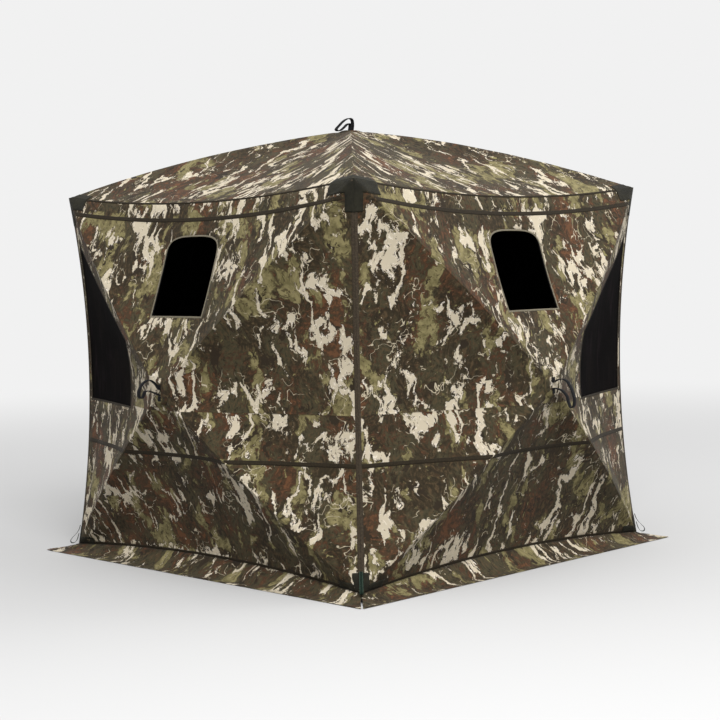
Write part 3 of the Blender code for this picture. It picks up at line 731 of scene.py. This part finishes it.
class Strips:
    """Tapes with a rounded section, gathered in one mesh."""

    # Across and up, as shares of the width and of the thickness
    LAID = (
        (-0.5, 0.0), (-0.47, 0.75), (-0.2, 1.0), (0.2, 1.0),
        (0.47, 0.75), (0.5, 0.0), (0.46, -0.2), (-0.46, -0.2),
    )
    LOOSE = (
        (-0.5, -0.3), (-0.47, -0.5), (0.47, -0.5), (0.5, -0.3),
        (0.5, 0.3), (0.47, 0.5), (-0.47, 0.5), (-0.5, 0.3),
    )

    def __init__(self):
        self.verts, self.faces, self.uvs, self.looks = [], [], [], []
        self.materials = []

    def add(self, rings, runs, offsets, look, closed, panel=None, flat=None):
        """Rings of points, the length run at each, and how far across each point is.
        With a panel and the rings' places in its plane, the print runs on through them."""
        if look not in self.materials:
            self.materials.append(look)
        index = self.materials.index(look)
        first, count = len(self.verts), rings.shape[1]
        self.verts += list(rings.reshape(-1, 3))
        total = len(rings)
        for i in range(total if closed else total - 1):
            j = (i + 1) % total
            run, after = runs[i], runs[i + 1] if i + 1 < len(runs) else runs[i] + 0.01
            for k in range(count):
                m = (k + 1) % count
                around = ((i, k), (j, k), (j, m), (i, m))
                self.faces.append([first + row * count + column for row, column in around])
                if panel is None:
                    self.uvs += [(run if row == i else after, offsets[n]) for row, n in around]
                else:
                    corners = np.array([flat[spot] for spot in around])
                    self.uvs += print_uv(panel, corners, np.array([[0, 1, 2, 3]]))[0].tolist()
                self.looks.append(index)
        if not closed:
            for row, order in ((0, range(count)), (total - 1, range(count - 1, -1, -1))):
                self.faces.append([first + row * count + k for k in order])
                self.uvs += [(runs[row], offsets[k]) for k in order]
                self.looks.append(index)

    def lay(self, panel, line, width, look, thick=TAPE_THICK, lift=CLOTH / 2, closed=False):
        """A tape along a line of a panel's plane."""
        line = resampled(line, TAPE_STEP, closed)
        before, after = np.roll(line, 1, 0), np.roll(line, -1, 0)
        if not closed:
            before[0], after[-1] = line[0] * 2 - line[1], line[-1] * 2 - line[-2]
        one, two = unit(line - before), unit(after - line)
        turn = np.stack([-(one + two)[:, 1], (one + two)[:, 0]], 1)
        turn /= (1 + (one * two).sum(1))[:, None]
        offsets = np.array([x * width for x, _ in self.LAID])
        heights = np.array([lift + y * thick for _, y in self.LAID])
        flat = np.stack([line + turn * offset for offset in offsets], 1)
        rings = np.stack([panel.world(flat[:, k], height) for k, height in enumerate(heights)], 1)
        runs = np.concatenate([[0], np.cumsum(lengths(after - line))])
        self.add(rings, runs, offsets, look, closed, panel if look == "camo" else None, flat)

    def sweep(self, path, across, width, thick, look, closed=False):
        """A tape whose width lies along one direction all the way."""
        path, across = np.asarray(path, float), np.asarray(across, float)
        before, after = np.roll(path, 1, 0), np.roll(path, -1, 0)
        if not closed:
            before[0], after[-1] = path[0], path[-1]
        out = np.cross(unit(after - before), across)
        rings = [path + across * x * width + out * y * thick for x, y in self.LOOSE]
        runs = np.concatenate([[0], np.cumsum(lengths(np.roll(path, -1, 0) - path))])
        self.add(np.stack(rings, 1), runs, [x * width for x, _ in self.LOOSE], look, closed)

    def object(self, name):
        return mesh_object(name, self.verts, self.faces, self.uvs, self.materials, self.looks)


# Fabric panels


def ridge_lines(panel):
    """The four straight runs, in the panel's plane, under which the rods lie."""
    for i in range(4):
        corner = panel.outline(np.array([float(i)]))[0, :2]
        way = corner - panel.hub
        start = HUB_HOLE * 1.3 / np.linalg.norm(way)
        yield [panel.hub + way * start, panel.hub + way * 0.998]


def panel_cloth(panel, name, node, holes=(), lines=()):
    edge = panel.outline(np.arange(0, 4, 1 / 44))[:, :2]
    holes = [panel.hub + HUB_HOLE * circle(16), *holes]
    cloth = cloth_object(name, panel, edge, holes, [*ridge_lines(panel), *lines])
    thicken(cloth, inner=1)
    follow(cloth, panel)
    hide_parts(node)
    return cloth


def make_wall(panel):
    wall = panel.name
    side = MESH_SIDE[wall]
    holes = [arch(), quad(MESH_CORNERS, side)]
    if wall == DOOR_WALL:
        holes.append(quad(DOOR_CORNERS, 1, OPENING_GAP))
    join = [(-BAND_RUN, SEAM_Z), (BAND_RUN, SEAM_Z)]
    cloth = panel_cloth(panel, f"wall_cloth_{wall}", f"wall_{wall}", holes, [join])
    opening = quad(MESH_CORNERS, side, MESH_LAP)
    net = cloth_object(f"mesh_{wall}", panel, opening, lift=-CLOTH, looks=("mesh", "mesh"))
    thicken(net, NET_THICK)
    follow(net, panel)
    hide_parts(f"mesh_window_{wall}")
    sewn = [make_wall_tapes(panel), stitched_seams(panel)]


def eave_band():
    """The dark band below a wall's eave, which sags with the eave."""
    u = np.linspace(-BAND_RUN, BAND_RUN, 60)
    eave = EAVE_Z - EAVE_SAG * (1 - (u / HALF) ** 2)
    drop = EAVE_BAND_DROP + EAVE_BAND_SAG * (1 - (u / BAND_RUN) ** 2)
    return np.stack([u, eave - drop], 1)


def inset_line(panel, start, end, inset, count=90):
    """A run of the outline, moved in towards the hub by a width."""
    t = np.linspace(start, end, count)
    edge = panel.outline(np.clip(t, start + 1e-6, end - 1e-6))[:, :2]
    way = unit(np.gradient(edge, axis=0))
    return edge + np.stack([-way[:, 1], way[:, 0]], 1) * inset


def make_wall_tapes(panel):
    strips = Strips()
    for side in (1, 3):
        strips.lay(panel, inset_line(panel, side, side + 1, CORNER_TAPE / 2), CORNER_TAPE, "tape")
    # The wall's eave seam tape, dark so that it also paints the shade line of the eave fold
    strips.lay(panel, inset_line(panel, 2, 3, EAVE_SHADE_TAPE / 2), EAVE_SHADE_TAPE, "band")
    strips.lay(panel, inset_line(panel, 0, 1, BASE_BAND / 2), BASE_BAND, "band")
    strips.lay(panel, eave_band(), TAPE, "band")
    wide = HALF - CORNER_BOW * 0.86 - CORNER_GAP
    strips.lay(panel, [(-wide, BAND_Z), (wide, BAND_Z)], TAPE, "band")
    strips.lay(panel, arch(BINDING_OUT), BINDING, "binding", closed=True)
    net = quad(MESH_CORNERS, MESH_SIDE[panel.name], MESH_TAPE_OUT)
    strips.lay(panel, net, MESH_TAPE, "band", closed=True)
    if panel.name == DOOR_WALL:
        door = quad(DOOR_CORNERS, 1, DOOR_TAPE_OUT)
        strips.lay(panel, door, DOOR_TAPE, "band", closed=True)
    obj = strips.object(f"tapes_{panel.name}")
    follow(obj, panel)
    return obj


def stitched_seams(panel):
    """Narrow felled seams in the print itself, along the join and over the rods."""
    strips = Strips()
    if panel.name != "roof":
        wide = HALF - CORNER_BOW - CORNER_GAP
        start, end = (-wide, MESH_END) if MESH_SIDE[panel.name] > 0 else (-MESH_END, wide)
        if panel.name == DOOR_WALL:
            end = DOOR_END
        strips.lay(panel, [(start, SEAM_Z), (end, SEAM_Z)], JOIN_SEAM, "camo", SEAM_THICK)
    for run in ridge_lines(panel):
        way = run[1] - panel.hub
        ends = [panel.hub + way * share for share in (0.075, 0.93)]
        strips.lay(panel, ends, ROD_SEAM, "camo", SEAM_THICK)
    obj = strips.object(f"seams_{panel.name}")
    follow(obj, panel)
    return obj


def make_roof(panel):
    cloth = panel_cloth(panel, "roof_cloth", "roof_panel")
    strips = Strips()
    # The roof's eave seam tapes, dark so that they also paint the shade line of the eave fold
    for side in range(4):
        strips.lay(panel, inset_line(panel, side, side + 1, EAVE_SHADE_TAPE / 2), EAVE_SHADE_TAPE, "band")
    tapes = strips.object("tapes_roof")
    follow(tapes, panel)
    sewn, area = [tapes, stitched_seams(panel)], cloth["flat_area"]
    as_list(sewn)


# Corners


def patch_outline(panel, corner, runs, depths):
    """An L at a corner of a panel: how far it runs along the edge before the corner and
    the edge after it, and how deep it is along each."""
    first, last = corner - runs[0] / (2 * HALF), corner + runs[1] / (2 * HALF)
    edge = [inset_line(panel, first, corner, 0.0, 14), inset_line(panel, corner, last, 0.0, 14)[1:]]
    middle = panel.outline(np.array([corner % 4]))[0, :2]
    inward = np.sign(panel.hub - middle)
    upright = corner % 2 == 1  # the edge after the corner runs up the panel
    inner = middle + inward * (depths[::-1] if upright else depths)
    after = inset_line(panel, corner, last, depths[1], 10)[::-1]
    before = inset_line(panel, first, corner, depths[0], 10)[::-1]
    after, before = (
        line[lengths(line - middle) > max(depths) * 1.3] for line in (after, before)
    )
    return np.vstack([*edge, after, inner[None], before])


def make_corner_patches(panels):
    """Each corner's patch, as one piece on each of the panels that meet there."""
    for index, corner in enumerate(CORNERS):
        here, after = panels[WALLS[index]], panels[WALLS[(index + 1) % 4]]
        spots = (
            ("top", here, 2, TOP_RUNS[::-1], TOP_DEPTHS[::-1]),
            ("top", after, 3, TOP_RUNS, TOP_DEPTHS),
            ("top", panels["roof"], index + 1, ROOF_RUNS, ROOF_DEPTHS),
            ("base", here, 1, BASE_RUNS, BASE_DEPTHS),
            ("base", after, 4, BASE_RUNS[::-1], BASE_DEPTHS[::-1]),
        )
        for kind, panel, t, runs, depths in spots:
            outline = patch_outline(panel, t, runs, np.array(depths))
            name = f"{kind}_patch_{corner}_{panel.name}"
            looks = ("patch", "patch")
            piece = cloth_object(name, panel, outline, lift=PATCH_LIFT, spacing=0.010, looks=looks)
            thicken(piece, PATCH_THICK)
            follow(piece, panel)
            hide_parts(f"{kind}_corner_{corner}")


def make_stake_loops():
    """A loop of webbing at the foot of each corner, for a peg."""
    for index, corner in enumerate(CORNERS):
        angle = radians(-45 + 90 * index)
        out = Vector((cos(angle), sin(angle), 0))
        across = Vector((-sin(angle), cos(angle), 0))
        foot = quarter_turn(index) @ Vector((HALF, -HALF, 0))
        path = []
        for r, z in smooth(metres(LOOP_WAY)):
            bow = 0.010 * (z - BASE_Z) / 0.09  # the corner itself leans in as it goes up
            path.append(foot + out * (r - bow) + Vector((0, 0, z)))
        strips = Strips()
        strips.sweep(path, across, LOOP_WIDTH, TAB_THICK, "green")
        obj = strips.object(f"stake_loop_{corner}")
        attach(obj, "root")


def metres(points):
    return [(x / 1000, y / 1000) for x, y in points]


def smooth(points):
    """A smooth line through the points, with three more between each two."""
    points = [np.array(p, float) for p in points]
    out = []
    for i in range(len(points) - 1):
        p0, p1, p2, p3 = (points[min(max(j, 0), len(points) - 1)] for j in range(i - 1, i + 3))
        for t in (0.0, 0.25, 0.5, 0.75):
            lead, tail = (p2 - p0) / 2, (p3 - p1) / 2
            bend = p1 * (2 * t**3 - 3 * t**2 + 1) + p2 * (3 * t**2 - 2 * t**3)
            out.append(bend + lead * (t**3 - 2 * t**2 + t) + tail * (t**3 - t**2))
    out.append(points[-1])
    return out


# The ground skirt


def skirt_row(across, out, index):
    """A row of a flap's points, this far out from the wall's foot."""
    free = 1 - across**2
    slope = max(0.0, 1 - out / SKIRT_FLAT)
    seam = BASE_Z + BASE_RISE * free
    split = SKIRT_SPLIT * smoothstep((out - 0.018) / 0.03)
    x = across * (HALF + out) - np.sign(across) * split * smoothstep((np.abs(across) - 0.9) / 0.1)
    fall = slope**1.25
    wave = np.sin(23 * across + 2 * index) + 0.6 * np.sin(41 * across + 5 * out * 20)
    ripple = 0.0022 * wave * 4 * slope * (1 - slope) + 0.0007 * (wave + 1.6) * (out / SKIRT_OUT)
    z = GROUND + (seam - GROUND) * fall + np.maximum(ripple, -0.3 * seam * fall)
    y = -(HALF + out) + BASE_IN * free * slope
    return np.stack([x, y, np.maximum(z, GROUND)], 1)


def make_skirt():
    """Four flaps, sewn to the walls' lower edges and lying out over the ground."""
    across = np.linspace(-1, 1, 97)
    falling, lying = np.linspace(0, SKIRT_FLAT, 9), np.linspace(SKIRT_FLAT + 0.01, SKIRT_OUT, 4)
    rows = np.concatenate([falling, lying])
    count = len(across)
    for index, wall in enumerate(WALLS):
        grid = np.concatenate([skirt_row(across, out, index) for out in rows])
        uv = np.column_stack([grid[:, 0] + 60.0 + 5 * index, np.repeat(rows * 1.1 + 3.0, count)])
        faces = []
        for j in range(len(rows) - 1):
            for i in range(count - 1):
                first = j * count + i
                faces.append((first, first + count, first + count + 1, first + 1))
        flap = mesh_object(f"skirt_{wall}", placed(grid, quarter_turn(index)), faces, uv[faces], PRINTED)
        thicken(flap, inner=1)
        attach(flap, "root")
        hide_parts("ground_skirt")


# Windows, the door and the hubs


def cover_sheet(wall, outline, place):
    """A cover's cloth, dished a little, put in place by a matrix."""
    flat, faces = triangles(outline)
    share = (flat - flat.min(0)) / np.ptp(flat, axis=0)
    dish = COVER_DISH * np.prod(4 * share * (1 - share), axis=1)
    points = placed(np.column_stack([flat, dish]), place)
    obj = mesh_object(f"cover_{wall}", points, faces.tolist(), flat[faces], ("lining",))
    obj["flat_area"] = area_of(flat, faces)
    thicken(obj, COVER_THICK)
    return obj


def cover_hem(wall, place):
    """A tape round the edge of a cover, on both of its faces."""
    hem = Strips()
    rim = resampled(cover_line(COVER_MARGIN - HEM_WIDTH / 2), HEM_STEP, True)
    normal = np.array(place)[:3, 2]
    for height in (COVER_THICK / 2, -COVER_THICK / 2):
        edge = placed(np.column_stack([rim, np.full(len(rim), height)]), place)
        side = np.cross(unit(np.roll(edge, -1, 0) - np.roll(edge, 1, 0)), normal)
        section = ((-0.006, 0), (-0.005, height), (0.005, height), (0.006, 0))
        ring = np.stack([edge + side * x + normal * y for x, y in section], 1)
        hem.add(ring, np.arange(len(edge) + 1) * HEM_STEP, [x for x, _ in section], "black", True)
    return hem.object(f"cover_hem_{wall}")


def cover_line(margin):
    return [(u, SILL_Z - z) for u, z in arch(margin)]


def make_window(panel, index):
    wall = panel.name
    strips = Strips()
    strips.lay(panel, arch(TRIM_WIDTH / 2), TRIM_WIDTH, "black", TAPE_THICK, -TRIM_DEPTH, closed=True)
    trim = strips.object(f"trim_{wall}")
    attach(trim, f"{wall}_trim")
    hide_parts(f"window_trim_{wall}")
    hinge = next(joint for joint in frame["joints"] if joint["name"] == f"{wall}_cover_fold")
    sill = Matrix.Translation(hinge["pos_m"])
    fold = Matrix.Rotation(radians(COVER_TURN) if wall in SHUT_WINDOWS else 0.0, 4, "X")
    stand = Matrix.Translation((0, 0, -COVER_DROP - COVER_MARGIN)) @ Matrix.Rotation(pi / 2, 4, "X")
    place = sill @ quarter_turn(index) @ fold @ stand
    outline = cover_line(COVER_MARGIN)[::-1]
    cover = cover_sheet(wall, outline, place)
    border = cover_hem(wall, place)
    for piece in (cover, border):
        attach(piece, f"{wall}_cover")
        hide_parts(f"window_cover_{wall}")
    size = np.ptp(np.array(outline), axis=0)


def make_door(panel):
    corners = quad(DOOR_CORNERS, 1)
    door = cloth_object("door_cloth", panel, corners)
    thicken(door, inner=1)
    strips = Strips()
    strips.lay(panel, quad(DOOR_CORNERS, 1, DOOR_HEM_OUT), DOOR_HEM, "band", closed=True)
    edge = strips.object("door_edge")
    for piece in (door, edge):
        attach(piece, "door")
        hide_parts("door_panel")
    strips = Strips()
    middle = quad(DOOR_CORNERS, 1, DOOR_FRAME_WIDTH / 2 - 0.002)
    strips.lay(panel, middle, DOOR_FRAME_WIDTH, "black", TAPE_THICK, -TRIM_DEPTH, closed=True)
    back = strips.object("door_frame_tape")
    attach(back, "door_frame")
    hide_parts("door_frame")


def make_hub_cover(panel):
    """A round of the print, sewn over a hub's plate, that the pull strap comes out of."""
    rings = (0.010, 0.024, 0.036, 0.042, COVER_FLAT, 0.051, COVER_RADIUS)
    foot, rise = 0.0011, PLATE_TOP + 0.0012
    count = 48
    angles = np.linspace(0, 2 * pi, count, endpoint=False)
    flat = [np.array([panel.hub])]
    lifts = [np.array([rise])]
    for radius in rings:
        flat.append(panel.hub + radius * circle(count))
        share = smoothstep((COVER_RADIUS - 0.004 - radius) / 0.014)
        pucker = 0.0005 * np.sin(14 * angles) * smoothstep((radius - 0.036) / 0.01)
        pucker *= radius < COVER_RADIUS
        lifts.append(foot + (rise - foot) * share + np.maximum(pucker, -0.0003))
    flat, lifts = np.vstack(flat), np.concatenate(lifts)
    faces = [[0, 1 + k, 1 + (k + 1) % count] for k in range(count)]
    for first in range(1, 1 + (len(rings) - 1) * count, count):
        for k in range(count):
            m = (k + 1) % count
            near, far = (first + k, first + m), (first + count + k, first + count + m)
            faces += [[near[0], far[0], far[1]], [near[0], far[1], near[1]]]
    base = panel.height(flat)
    over_plate = lengths(flat - panel.hub) < COVER_FLAT
    base = np.where(over_plate, np.maximum(base, panel.hub_w), base)
    verts = placed(np.column_stack([flat, base + lifts]), panel.place)
    uvs = print_uv(panel, flat, np.array(faces))
    cover = mesh_object(f"hub_cover_{panel.name}", verts, faces, uvs, PRINTED)
    thicken(cover, 0.0008, inner=1)
    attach(cover, f"{panel.name}_hub")


# A pull strap's way out of its hub's cover and back, in millimetres out and up
HANGING = (
    (4, 12), (35, 28), (70, 22), (94, -10), (110, -50), (108, -82),
    (92, -92), (80, -72), (70, -42), (40, -18), (4, -12),
)
STANDING = (
    (4, 12), (24, 44), (55, 60), (88, 46), (110, 14), (106, -12), (90, -12), (76, 12), (45, 10), (4, -12),
)
LEANING = (
    (4, 10), (30, 16), (54, 10), (58, -12), (46, -42), (24, -72),
    (2, -96), (-3, -74), (12, -46), (32, -18), (28, -2), (4, -8),
)
STRAP_WAYS = {"front": HANGING, "right": STANDING, "back": HANGING, "left": STANDING, "roof": LEANING}


def make_strap(panel):
    """The pull strap: a loop of webbing with a stitched tab over its two ends."""
    # The hub's own frame: x across, y up and z out, at the fabric's middle
    place = Matrix(panel.place.tolist()) @ Matrix.Translation((*panel.hub, panel.hub_w))
    if panel.name == "roof":
        place = place @ Matrix.Rotation(radians(270), 4, "Z")
    base = PLATE_TOP + 0.0016
    strips = Strips()
    points = metres(STRAP_WAYS[panel.name])
    for end in (0, -1):
        points[end] = (-STRAP_THICK, points[end][1])
    path = [place @ Vector((0, up, out + base)) for out, up in smooth(points)]
    across = place.to_3x3() @ Vector((1, 0, 0))
    strips.sweep(path, across, STRAP_WIDTH, STRAP_THICK, "black")
    for up, low in ((0.014, 0.036), (-0.036, -0.014)):
        tab = [place @ Vector((0, y, base + 0.0003)) for y in np.linspace(up, low, 6)]
        strips.sweep(tab, across, STRAP_WIDTH, TAB_THICK, "black")
    strap = strips.object(f"strap_{panel.name}")
    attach(strap, f"{panel.name}_hub")
    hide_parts(f"pull_strap_{panel.name}")


def finish_cad_nodes():
    """The hubs, the rods and the zip's slider keep their CAD shape, with a better finish."""
    looks = {"hub_": "plastic", "rod_": "fibreglass", "door_zip_slider": "zip"}
    for name, node in frame["nodes"].items():
        for start, look in looks.items():
            if name.startswith(start):
                node.data.materials.clear()
                node.data.materials.append(MATERIALS[look])


# The studio


def add_area(name, location, target, size, power):
    light = bpy.data.lights.new(name, "AREA")
    light.shape = "DISK"
    light.size = size
    light.energy = power
    lamp = bpy.data.objects.new(name, light)
    lamp.location = location
    way = Vector(target) - Vector(location)
    lamp.rotation_euler = way.to_track_quat("-Z", "Y").to_euler()
    bpy.context.scene.collection.objects.link(lamp)


def make_room():
    """White all round, and dark from below, where the floor hides it from the camera."""
    world = bpy.data.worlds.new("studio")
    bpy.context.scene.world = world
    world.use_nodes = True
    tree = Tree(world.node_tree)
    way = tree.node("ShaderNodeSeparateXYZ", {0: tree.node("ShaderNodeTexCoord")}, "Z")
    values = {"Value": way, "From Min": -0.4, "From Max": -0.03, "To Min": 0.03, "To Max": ROOM_LIGHT}
    light = tree.node("ShaderNodeMapRange", values, interpolation_type="SMOOTHSTEP")
    background = tree.nodes["Background"]
    background.inputs["Color"].default_value = (1.0, 1.0, 1.0, 1.0)
    tree.links.new(light, background.inputs["Strength"])


def make_floor():
    """A pale disc that takes on the room's own light further out, so no edge shows."""
    mesh = bpy.data.meshes.new("floor")
    mesh.from_pydata([(*point, -0.0012) for point in 70 * circle(96)], [], [range(96)])
    floor = bpy.data.objects.new("floor", mesh)
    bpy.context.scene.collection.objects.link(floor)
    g = Graph("floor", Roughness=0.95, Specular_IOR_Level=0.0, Emission_Color=(1.0,) * 4)
    at = g.node("ShaderNodeTexCoord", output=3)
    away = g.node("ShaderNodeVectorMath", {0: at}, 1, operation="LENGTH")
    far = g.step(away, 2.5, 11.0, interpolation_type="SMOOTHSTEP")
    g.links.new(g.math("MULTIPLY", far, ROOM_LIGHT), g.shader.inputs["Emission Strength"])
    mesh.materials.append(g.finish(g.mix(far, (0.62, 0.62, 0.62, 1.0), (0.0, 0.0, 0.0, 1.0))))
    floor.visible_diffuse = False  # the lower gores are lit by the room, not by the floor


def make_studio():
    bpy.context.scene.view_settings.view_transform = "Standard"
    make_room()
    make_floor()
    add_area("key", (-4.0, -5.5, 6.5), (0, 0, 1.2), 3.5, 480)
    add_area("fill", (6.0, -4.0, 4.0), (0, 0, 0.8), 5.0, 120)


def make_camera():
    """Seen across one corner, from a little above the middle."""
    azimuth, elevation, roll = (radians(degrees) for degrees in (-45.55, 3.41, -1.1))
    distance = 7.844
    back = Vector((sin(azimuth) * cos(elevation), -cos(azimuth) * cos(elevation), sin(elevation)))
    right = (-back).cross(Vector((0, 0, 1))).normalized()
    up = right.cross(-back)
    target = Vector((0, 0, 0.890)) + right * 0.025
    x = right * cos(roll) + up * sin(roll)
    y = up * cos(roll) - right * sin(roll)
    lens = bpy.data.cameras.new("camera")
    lens.lens = 81.5
    lens.sensor_width = 36
    camera = bpy.data.objects.new("camera", lens)
    bpy.context.scene.collection.objects.link(camera)
    turn = Matrix((x, y, back)).transposed()
    camera.matrix_world = Matrix.Translation(target + back * distance) @ turn.to_4x4()
    bpy.context.scene.camera = camera


MATERIALS = make_materials()
make_camera()
make_studio()
PANELS = make_panels()
for number, wall_name in enumerate(WALLS):
    make_wall(PANELS[wall_name])
    make_window(PANELS[wall_name], number)
make_roof(PANELS["roof"])
make_corner_patches(PANELS)
make_stake_loops()
make_skirt()
make_door(PANELS[DOOR_WALL])
for panel in PANELS.values():
    make_hub_cover(panel)
    make_strap(panel)
finish_cad_nodes()
